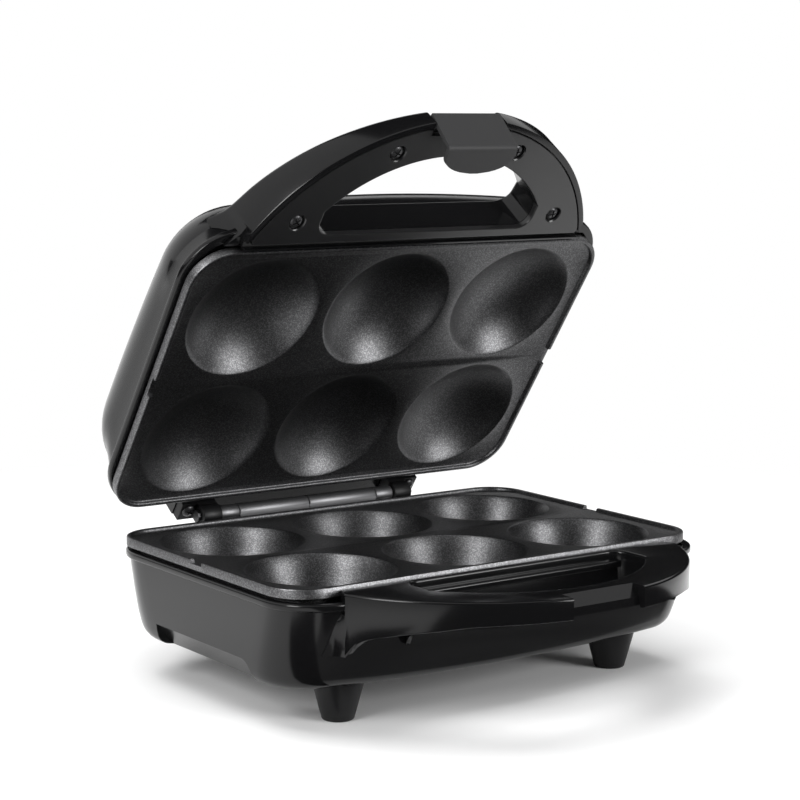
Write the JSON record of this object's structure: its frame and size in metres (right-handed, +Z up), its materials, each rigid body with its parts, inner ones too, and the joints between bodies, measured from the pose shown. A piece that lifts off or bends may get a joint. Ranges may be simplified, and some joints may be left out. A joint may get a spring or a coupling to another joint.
{
  "type": "cupcake maker",
  "caption": "Countertop cupcake maker with a hinged lid, deep cups below and domes above, half-round handles and a sprung latch",
  "frame": {"origin": "middle of the footprint of the whole object with its lid open, on the surface that its feet stand on", "axes": "+X to the right seen from the front, +Y to the back where the hinge is, +Z up"},
  "size_m": [0.2406, 0.2676, 0.2667],
  "materials": {
    "gloss_black": "high gloss black",
    "satin_black": "satin black",
    "matt_grey": "matt dark grey",
    "non_stick": "cast aluminium with a dark speckled non-stick coating",
    "rubber": "matt black",
    "steel": "satin plated steel",
    "dark_steel": "dark plated steel",
    "bare_aluminium": "bare pressed sheet",
    "element_steel": "heat-dulled steel",
    "ceramic": "off-white ceramic, matt",
    "red_lens": "clear red",
    "green_lens": "clear green",
    "wire_cover": "heat-proof sleeve"
  },
  "bodies": {
    "base": {"base_shell": "gloss_black", "base_handle": "gloss_black", "foot_front_left": "satin_black", "foot_front_right": "satin_black", "foot_rear_left": "satin_black", "foot_rear_right": "satin_black", "lower_plate": "non_stick", "cord_gland": "rubber", "hinge_leaf_left": "steel", "hinge_leaf_right": "steel", "hinge_rod": "steel", "thermal_fuse": "steel", "foot_screw_front_left": "dark_steel", "foot_screw_front_right": "dark_steel", "foot_screw_rear_left": "dark_steel", "foot_screw_rear_right": "dark_steel", "base_screw_left": "dark_steel", "base_screw_right": "dark_steel", "hinge_screw_left_inner": "dark_steel", "hinge_screw_left_outer": "dark_steel", "hinge_screw_right_inner": "dark_steel", "hinge_screw_right_outer": "dark_steel", "lower_reflector": "bare_aluminium", "lower_element": "element_steel", "thermostat": "ceramic", "terminal_block": "ceramic", "supply_wire_live": "wire_cover", "supply_wire_neutral": "wire_cover", "element_wire": "wire_cover", "thermostat_wire": "wire_cover", "link_wire": "wire_cover", "fuse_wire": "wire_cover"},
    "lid": {"lid_shell": "gloss_black", "lid_handle": "gloss_black", "handle_cover": "matt_grey", "upper_plate": "non_stick", "upper_element": "element_steel", "upper_reflector": "bare_aluminium", "cover_screw_left_1": "dark_steel", "cover_screw_left_2": "dark_steel", "cover_screw_right_1": "dark_steel", "cover_screw_right_2": "dark_steel", "hinge_arm_left": "satin_black", "hinge_arm_right": "satin_black", "arm_screw_left": "dark_steel", "arm_screw_right": "dark_steel", "hinge_collar_left": "steel", "hinge_collar_right": "steel", "plate_screw_left": "dark_steel", "plate_screw_right": "dark_steel", "power_lens": "red_lens", "ready_lens": "green_lens", "lamp_holder": "ceramic", "upper_element_wire": "wire_cover", "lamp_wire": "wire_cover", "latch_pin": "steel", "latch_spring": "steel"},
    "latch": {"latch_clip": "matt_grey"}
  },
  "joints": [
    {"name": "lid_hinge", "type": "hinge", "parent": "base", "child": "lid", "pos_m": [0, 0.1019, 0.0656], "axis": [-1, 0, 0], "range_deg": [-55.4, 40]},
    {"name": "latch_hinge", "type": "hinge", "parent": "lid", "child": "latch", "pos_m": [0, -0.02868, 0.26052], "axis": [-1, 0, 0], "range_deg": [0, 40], "stiffness_Nm_per_rad": 0.02, "springref_deg": -28.65}
  ]
}
